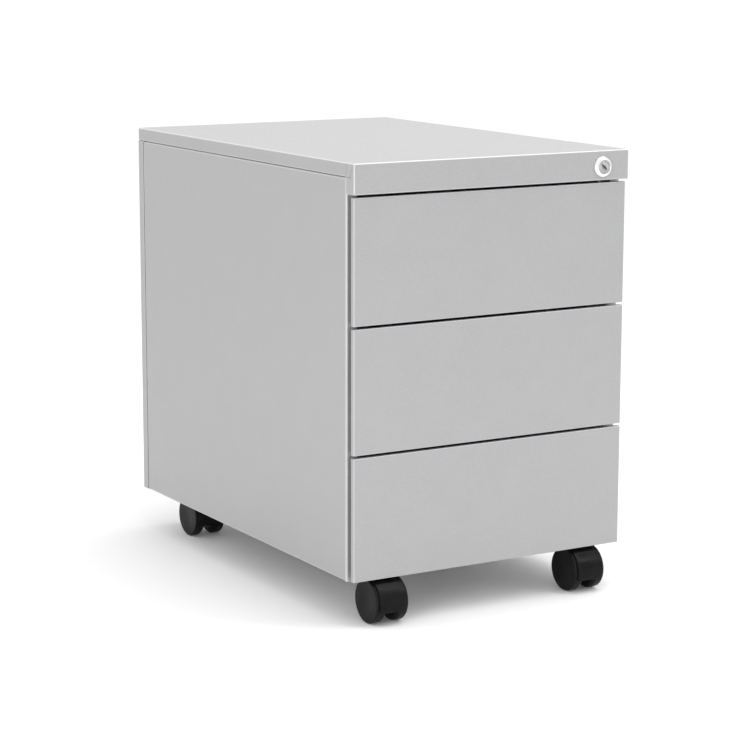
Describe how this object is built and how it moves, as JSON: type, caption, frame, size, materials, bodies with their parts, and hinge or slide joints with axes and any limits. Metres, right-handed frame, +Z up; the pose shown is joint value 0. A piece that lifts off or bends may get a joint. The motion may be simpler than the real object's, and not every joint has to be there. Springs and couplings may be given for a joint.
{
  "type": "mobile drawer pedestal",
  "caption": "Low steel filing cabinet on twin-wheel casters: drawers on ball slides behind flush fronts, a lipped top cover and a cam lock that blocks every drawer.",
  "frame": {"origin": "on the floor, under the middle of the whole object's footprint", "axes": "+Z up; the drawers open towards -Y; the lock is on the +X side of the front"},
  "size_m": [0.4, 0.609, 0.57],
  "materials": {
    "powder_coat": "fine satin powder coat, silver grey",
    "zinc_steel": "bright zinc plate",
    "bearing_steel": "polished balls in zinc plated strips",
    "chrome": "bright chrome",
    "nickel": "satin nickel",
    "guide_plastic": "natural nylon",
    "weight_paint": "black primer",
    "black_steel": "black zinc",
    "black_plastic": "satin moulded nylon",
    "wheel_plastic": "hard moulded nylon"
  },
  "bodies": {
    "carcass": {"left_side_panel": "powder_coat", "right_side_panel": "powder_coat", "back_panel": "powder_coat", "base_pan": "powder_coat", "front_top_rail": "powder_coat", "rear_uprights": "powder_coat", "counterweight": "weight_paint", "top_cover": "powder_coat", "left_cabinet_slides": "zinc_steel", "right_cabinet_slides": "zinc_steel", "panel_screws": "zinc_steel", "lock_bezel": "chrome", "lock_housing": "nickel", "lock_nut": "zinc_steel", "lock_bar_guides": "guide_plastic", "caster_plates": "black_steel", "caster_screws": "zinc_steel"},
    "lock_cylinder": {"lock_plug": "nickel", "lock_cam": "zinc_steel"},
    "lock_bar": {"lock_bar": "zinc_steel"},
    "bottom_drawer": {"bottom_drawer_front": "powder_coat", "bottom_drawer_liner": "powder_coat", "bottom_drawer_box": "powder_coat", "bottom_drawer_screws": "zinc_steel", "bottom_drawer_slides": "zinc_steel"},
    "bottom_middle_slides": {"bottom_middle_slides": "zinc_steel"},
    "bottom_outer_ball_cages": {"bottom_outer_ball_cages": "bearing_steel"},
    "bottom_inner_ball_cages": {"bottom_inner_ball_cages": "bearing_steel"},
    "middle_drawer": {"middle_drawer_front": "powder_coat", "middle_drawer_liner": "powder_coat", "middle_drawer_box": "powder_coat", "middle_drawer_screws": "zinc_steel", "middle_drawer_slides": "zinc_steel"},
    "middle_middle_slides": {"middle_middle_slides": "zinc_steel"},
    "middle_outer_ball_cages": {"middle_outer_ball_cages": "bearing_steel"},
    "middle_inner_ball_cages": {"middle_inner_ball_cages": "bearing_steel"},
    "top_drawer": {"top_drawer_front": "powder_coat", "top_drawer_liner": "powder_coat", "top_drawer_box": "powder_coat", "top_drawer_screws": "zinc_steel", "top_drawer_slides": "zinc_steel"},
    "top_middle_slides": {"top_middle_slides": "zinc_steel"},
    "top_outer_ball_cages": {"top_outer_ball_cages": "bearing_steel"},
    "top_inner_ball_cages": {"top_inner_ball_cages": "bearing_steel"},
    "front_left_caster": {"front_left_caster_hood": "black_plastic", "front_left_caster_axle": "zinc_steel"},
    "front_left_caster_left_wheel": {"front_left_caster_left_wheel": "wheel_plastic"},
    "front_left_caster_right_wheel": {"front_left_caster_right_wheel": "wheel_plastic"},
    "front_right_caster": {"front_right_caster_hood": "black_plastic", "front_right_caster_axle": "zinc_steel"},
    "front_right_caster_left_wheel": {"front_right_caster_left_wheel": "wheel_plastic"},
    "front_right_caster_right_wheel": {"front_right_caster_right_wheel": "wheel_plastic"},
    "rear_left_caster": {"rear_left_caster_hood": "black_plastic", "rear_left_caster_axle": "zinc_steel"},
    "rear_left_caster_left_wheel": {"rear_left_caster_left_wheel": "wheel_plastic"},
    "rear_left_caster_right_wheel": {"rear_left_caster_right_wheel": "wheel_plastic"},
    "rear_right_caster": {"rear_right_caster_hood": "black_plastic", "rear_right_caster_axle": "zinc_steel"},
    "rear_right_caster_left_wheel": {"rear_right_caster_left_wheel": "wheel_plastic"},
    "rear_right_caster_right_wheel": {"rear_right_caster_right_wheel": "wheel_plastic"}
  },
  "joints": [
    {"name": "lock_turn", "type": "hinge", "parent": "carcass", "child": "lock_cylinder", "pos_m": [0.16, -0.2955, 0.5493], "axis": [0, -1, 0], "range_deg": [0, 90]},
    {"name": "lock_bar_lift", "type": "slide", "parent": "carcass", "child": "lock_bar", "axis": [0, 0, 1], "range_m": [0, 0.0125]},
    {"name": "bottom_drawer_slide", "type": "slide", "parent": "carcass", "child": "bottom_drawer", "axis": [0, -1, 0], "range_m": [0, 0.46]},
    {"name": "bottom_middle_slides_run", "type": "slide", "parent": "carcass", "child": "bottom_middle_slides", "axis": [0, -1, 0], "range_m": [0, 0.23]},
    {"name": "bottom_outer_ball_cages_run", "type": "slide", "parent": "carcass", "child": "bottom_outer_ball_cages", "axis": [0, -1, 0], "range_m": [0, 0.115]},
    {"name": "bottom_inner_ball_cages_run", "type": "slide", "parent": "carcass", "child": "bottom_inner_ball_cages", "axis": [0, -1, 0], "range_m": [0, 0.345]},
    {"name": "middle_drawer_slide", "type": "slide", "parent": "carcass", "child": "middle_drawer", "axis": [0, -1, 0], "range_m": [0, 0.46]},
    {"name": "middle_middle_slides_run", "type": "slide", "parent": "carcass", "child": "middle_middle_slides", "axis": [0, -1, 0], "range_m": [0, 0.23]},
    {"name": "middle_outer_ball_cages_run", "type": "slide", "parent": "carcass", "child": "middle_outer_ball_cages", "axis": [0, -1, 0], "range_m": [0, 0.115]},
    {"name": "middle_inner_ball_cages_run", "type": "slide", "parent": "carcass", "child": "middle_inner_ball_cages", "axis": [0, -1, 0], "range_m": [0, 0.345]},
    {"name": "top_drawer_slide", "type": "slide", "parent": "carcass", "child": "top_drawer", "axis": [0, -1, 0], "range_m": [0, 0.46]},
    {"name": "top_middle_slides_run", "type": "slide", "parent": "carcass", "child": "top_middle_slides", "axis": [0, -1, 0], "range_m": [0, 0.23]},
    {"name": "top_outer_ball_cages_run", "type": "slide", "parent": "carcass", "child": "top_outer_ball_cages", "axis": [0, -1, 0], "range_m": [0, 0.115]},
    {"name": "top_inner_ball_cages_run", "type": "slide", "parent": "carcass", "child": "top_inner_ball_cages", "axis": [0, -1, 0], "range_m": [0, 0.345]},
    {"name": "front_left_caster_swivel", "type": "hinge", "parent": "carcass", "child": "front_left_caster", "pos_m": [-0.148, -0.254, 0.0635], "axis": [0, 0, 1], "continuous": true},
    {"name": "front_left_caster_left_wheel_spin", "type": "hinge", "parent": "front_left_caster", "child": "front_left_caster_left_wheel", "pos_m": [-0.148, -0.274, 0.028], "axis": [1, 0, 0], "continuous": true},
    {"name": "front_left_caster_right_wheel_spin", "type": "hinge", "parent": "front_left_caster", "child": "front_left_caster_right_wheel", "pos_m": [-0.148, -0.274, 0.028], "axis": [1, 0, 0], "continuous": true},
    {"name": "front_right_caster_swivel", "type": "hinge", "parent": "carcass", "child": "front_right_caster", "pos_m": [0.148, -0.254, 0.0635], "axis": [0, 0, 1], "continuous": true},
    {"name": "front_right_caster_left_wheel_spin", "type": "hinge", "parent": "front_right_caster", "child": "front_right_caster_left_wheel", "pos_m": [0.148, -0.274, 0.028], "axis": [1, 0, 0], "continuous": true},
    {"name": "front_right_caster_right_wheel_spin", "type": "hinge", "parent": "front_right_caster", "child": "front_right_caster_right_wheel", "pos_m": [0.148, -0.274, 0.028], "axis": [1, 0, 0], "continuous": true},
    {"name": "rear_left_caster_swivel", "type": "hinge", "parent": "carcass", "child": "rear_left_caster", "pos_m": [-0.148, 0.2443, 0.0635], "axis": [0, 0, 1], "continuous": true},
    {"name": "rear_left_caster_left_wheel_spin", "type": "hinge", "parent": "rear_left_caster", "child": "rear_left_caster_left_wheel", "pos_m": [-0.148, 0.2243, 0.028], "axis": [1, 0, 0], "continuous": true},
    {"name": "rear_left_caster_right_wheel_spin", "type": "hinge", "parent": "rear_left_caster", "child": "rear_left_caster_right_wheel", "pos_m": [-0.148, 0.2243, 0.028], "axis": [1, 0, 0], "continuous": true},
    {"name": "rear_right_caster_swivel", "type": "hinge", "parent": "carcass", "child": "rear_right_caster", "pos_m": [0.148, 0.2443, 0.0635], "axis": [0, 0, 1], "continuous": true},
    {"name": "rear_right_caster_left_wheel_spin", "type": "hinge", "parent": "rear_right_caster", "child": "rear_right_caster_left_wheel", "pos_m": [0.148, 0.2243, 0.028], "axis": [1, 0, 0], "continuous": true},
    {"name": "rear_right_caster_right_wheel_spin", "type": "hinge", "parent": "rear_right_caster", "child": "rear_right_caster_right_wheel", "pos_m": [0.148, 0.2243, 0.028], "axis": [1, 0, 0], "continuous": true}
  ],
  "couplings": [
    {"joint": "lock_bar_lift", "follows": "lock_turn", "m_per_rad": 0.007203},
    {"joint": "bottom_middle_slides_run", "follows": "bottom_drawer_slide", "ratio": 0.5},
    {"joint": "bottom_outer_ball_cages_run", "follows": "bottom_drawer_slide", "ratio": 0.25},
    {"joint": "bottom_inner_ball_cages_run", "follows": "bottom_drawer_slide", "ratio": 0.75},
    {"joint": "middle_middle_slides_run", "follows": "middle_drawer_slide", "ratio": 0.5},
    {"joint": "middle_outer_ball_cages_run", "follows": "middle_drawer_slide", "ratio": 0.25},
    {"joint": "middle_inner_ball_cages_run", "follows": "middle_drawer_slide", "ratio": 0.75},
    {"joint": "top_middle_slides_run", "follows": "top_drawer_slide", "ratio": 0.5},
    {"joint": "top_outer_ball_cages_run", "follows": "top_drawer_slide", "ratio": 0.25},
    {"joint": "top_inner_ball_cages_run", "follows": "top_drawer_slide", "ratio": 0.75}
  ]
}
